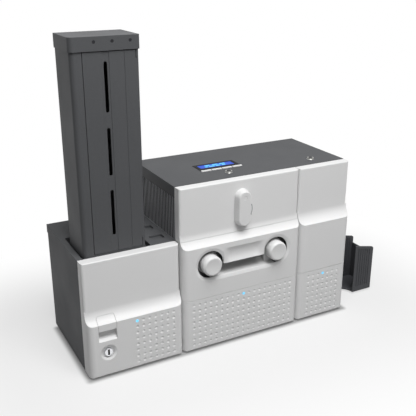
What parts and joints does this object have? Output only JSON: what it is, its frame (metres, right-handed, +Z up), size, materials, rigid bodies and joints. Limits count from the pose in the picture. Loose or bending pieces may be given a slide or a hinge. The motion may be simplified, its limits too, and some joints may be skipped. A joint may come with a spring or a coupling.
{
  "type": "id card printer",
  "caption": "Desktop card printer with a tall card magazine on an input hopper, a ribbon drawer with round knobs, a display, an output module and a clip-on tray.",
  "frame": {"origin": "on the table, at the middle of the machine's bounding box in plan", "axes": "+X to the right along the front, +Y from the front to the back, +Z up"},
  "size_m": [0.5764, 0.1986, 0.506],
  "materials": {
    "graphite_shell": "satin",
    "tower_paint": "satin",
    "white_cover": "fine satin",
    "steel": "plain",
    "polished_metal": "polished",
    "black_plastic": "matt",
    "tray_plastic": "matt",
    "soft_rubber": "matt",
    "light_lens": "glowing lens",
    "screen": "backlit screen",
    "bezel_plastic": "glossy",
    "ribbon": "thin film",
    "board": "solder resist",
    "can_metal": "plain"
  },
  "bodies": {
    "machine": {"hopper_case": "graphite_shell", "hopper_top": "graphite_shell", "hopper_hinge_pins": "steel", "tower_shell": "tower_paint", "tower_hinge_pin": "steel", "tower_cap": "tower_paint", "cap_screws": "steel", "pick_frame": "steel", "pick_motor": "can_metal", "printer_chassis": "steel", "top_cover": "graphite_shell", "side_grille": "black_plastic", "rear_panel": "graphite_shell", "output_side_panel": "graphite_shell", "power_inlet": "black_plastic", "data_ports": "polished_metal", "printer_lower_panel": "white_cover", "output_lower_panel": "white_cover", "panel_lights": "light_lens", "cover_hinge_pins": "steel", "drive_motor": "can_metal", "drive_belt": "soft_rubber", "circuit_board": "board", "power_supply": "can_metal", "fan_frame": "black_plastic", "display_bezel": "bezel_plastic", "display_screen": "screen", "button_rings": "polished_metal", "rubber_feet": "soft_rubber"},
    "hopper_cover": {"hopper_cover": "white_cover", "hopper_light": "light_lens"},
    "latch_button": {"latch_button": "white_cover"},
    "lock_barrel": {"lock_barrel": "polished_metal"},
    "tower_door": {"tower_door": "tower_paint"},
    "card_weight": {"card_weight": "steel"},
    "pick_roller": {"pick_roller": "soft_rubber"},
    "upper_door": {"upper_door": "white_cover"},
    "turn_knob": {"turn_knob": "white_cover"},
    "ribbon_cassette": {"cassette_front": "white_cover", "cassette_frame": "black_plastic", "ribbon_film": "ribbon"},
    "supply_reel": {"supply_spool": "white_cover", "supply_roll": "ribbon"},
    "takeup_reel": {"takeup_spool": "white_cover", "takeup_roll": "ribbon"},
    "print_head": {"print_head": "can_metal"},
    "platen_roller": {"platen_roller": "soft_rubber"},
    "entry_roller": {"entry_roller": "soft_rubber"},
    "motor_pulley": {"motor_pulley": "can_metal"},
    "menu_key_1": {"menu_key_1": "white_cover"},
    "menu_key_2": {"menu_key_2": "white_cover"},
    "menu_key_3": {"menu_key_3": "white_cover"},
    "menu_key_4": {"menu_key_4": "white_cover"},
    "printer_button": {"printer_button": "black_plastic"},
    "output_button": {"output_button": "black_plastic"},
    "power_switch": {"power_switch": "black_plastic"},
    "fan_rotor": {"fan_rotor": "black_plastic"},
    "output_cover": {"output_cover": "white_cover"},
    "flipper_drum": {"flipper_drum": "black_plastic"},
    "output_tray": {"output_tray": "tray_plastic"}
  },
  "joints": [
    {"name": "hopper_cover_hinge", "type": "hinge", "parent": "machine", "child": "hopper_cover", "pos_m": [-0.13665, -0.08425, 0.05], "axis": [0, 0, 1], "range_deg": [0, 90]},
    {"name": "latch_slide", "type": "slide", "parent": "hopper_cover", "child": "latch_button", "axis": [0, 0, -1], "range_m": [0, 0.0025], "stiffness_N_per_m": 300, "springref_m": -0.001},
    {"name": "lock_turn", "type": "hinge", "parent": "hopper_cover", "child": "lock_barrel", "pos_m": [-0.25665, -0.09075, 0.043], "axis": [0, 1, 0], "range_deg": [0, 90]},
    {"name": "tower_door_hinge", "type": "hinge", "parent": "machine", "child": "tower_door", "pos_m": [-0.18095, -0.05795, 0.3], "axis": [0, 0, 1], "range_deg": [0, 110]},
    {"name": "card_weight_lift", "type": "slide", "parent": "machine", "child": "card_weight", "axis": [0, 0, 1], "range_m": [0, 0.335]},
    {"name": "pick_roller_spin", "type": "hinge", "parent": "machine", "child": "pick_roller", "pos_m": [-0.2274, -0.02625, 0.103], "axis": [0, 1, 0], "continuous": true},
    {"name": "upper_door_hinge", "type": "hinge", "parent": "machine", "child": "upper_door", "pos_m": [-0.02015, -0.07275, 0.2742], "axis": [-1, 0, 0], "range_deg": [0, 75]},
    {"name": "turn_knob_turn", "type": "hinge", "parent": "upper_door", "child": "turn_knob", "pos_m": [-0.02015, -0.07825, 0.233], "axis": [0, 1, 0], "range_deg": [0, 90]},
    {"name": "cassette_slide", "type": "slide", "parent": "machine", "child": "ribbon_cassette", "axis": [0, -1, 0], "range_m": [0, 0.13]},
    {"name": "supply_reel_spin", "type": "hinge", "parent": "ribbon_cassette", "child": "supply_reel", "pos_m": [-0.08115, -0.09075, 0.15], "axis": [0, 1, 0], "continuous": true},
    {"name": "takeup_reel_spin", "type": "hinge", "parent": "ribbon_cassette", "child": "takeup_reel", "pos_m": [0.04085, -0.09075, 0.15], "axis": [0, 1, 0], "continuous": true},
    {"name": "print_head_lift", "type": "hinge", "parent": "machine", "child": "print_head", "pos_m": [0.01185, -0.03075, 0.2], "axis": [0, 1, 0], "range_deg": [0, 6]},
    {"name": "platen_spin", "type": "hinge", "parent": "machine", "child": "platen_roller", "pos_m": [-0.02015, -0.03075, 0.104], "axis": [0, 1, 0], "continuous": true},
    {"name": "entry_roller_spin", "type": "hinge", "parent": "machine", "child": "entry_roller", "pos_m": [-0.10815, -0.03075, 0.104], "axis": [0, 1, 0], "continuous": true},
    {"name": "motor_spin", "type": "hinge", "parent": "machine", "child": "motor_pulley", "pos_m": [-0.06215, 0.02125, 0.048], "axis": [0, 1, 0], "continuous": true},
    {"name": "menu_key_1_press", "type": "slide", "parent": "machine", "child": "menu_key_1", "axis": [0, 0, -1], "range_m": [0, 0.0008], "stiffness_N_per_m": 100, "springref_m": -0.002},
    {"name": "menu_key_2_press", "type": "slide", "parent": "machine", "child": "menu_key_2", "axis": [0, 0, -1], "range_m": [0, 0.0008], "stiffness_N_per_m": 100, "springref_m": -0.002},
    {"name": "menu_key_3_press", "type": "slide", "parent": "machine", "child": "menu_key_3", "axis": [0, 0, -1], "range_m": [0, 0.0008], "stiffness_N_per_m": 100, "springref_m": -0.002},
    {"name": "menu_key_4_press", "type": "slide", "parent": "machine", "child": "menu_key_4", "axis": [0, 0, -1], "range_m": [0, 0.0008], "stiffness_N_per_m": 100, "springref_m": -0.002},
    {"name": "printer_button_press", "type": "slide", "parent": "machine", "child": "printer_button", "axis": [0, 0, -1], "range_m": [0, 0.0012], "stiffness_N_per_m": 150, "springref_m": -0.002},
    {"name": "output_button_press", "type": "slide", "parent": "machine", "child": "output_button", "axis": [0, 0, -1], "range_m": [0, 0.0012], "stiffness_N_per_m": 150, "springref_m": -0.002},
    {"name": "power_switch_rock", "type": "hinge", "parent": "machine", "child": "power_switch", "pos_m": [-0.06215, 0.09175, 0.03], "axis": [-1, 0, 0], "range_deg": [0, 16]},
    {"name": "fan_spin", "type": "hinge", "parent": "machine", "child": "fan_rotor", "pos_m": [0.11985, 0.08425, 0.106], "axis": [0, 1, 0], "continuous": true},
    {"name": "output_cover_hinge", "type": "hinge", "parent": "machine", "child": "output_cover", "pos_m": [0.14135, -0.07275, 0.2742], "axis": [-1, 0, 0], "range_deg": [0, 75]},
    {"name": "flipper_spin", "type": "hinge", "parent": "machine", "child": "flipper_drum", "pos_m": [0.14135, -0.03075, 0.112], "axis": [0, 1, 0], "continuous": true},
    {"name": "output_tray_lift", "type": "slide", "parent": "machine", "child": "output_tray", "axis": [0, 0, 1], "range_m": [0, 0.012]}
  ],
  "couplings": [
    {"joint": "motor_spin", "follows": "platen_spin", "ratio": 1},
    {"joint": "entry_roller_spin", "follows": "platen_spin", "ratio": 1}
  ]
}
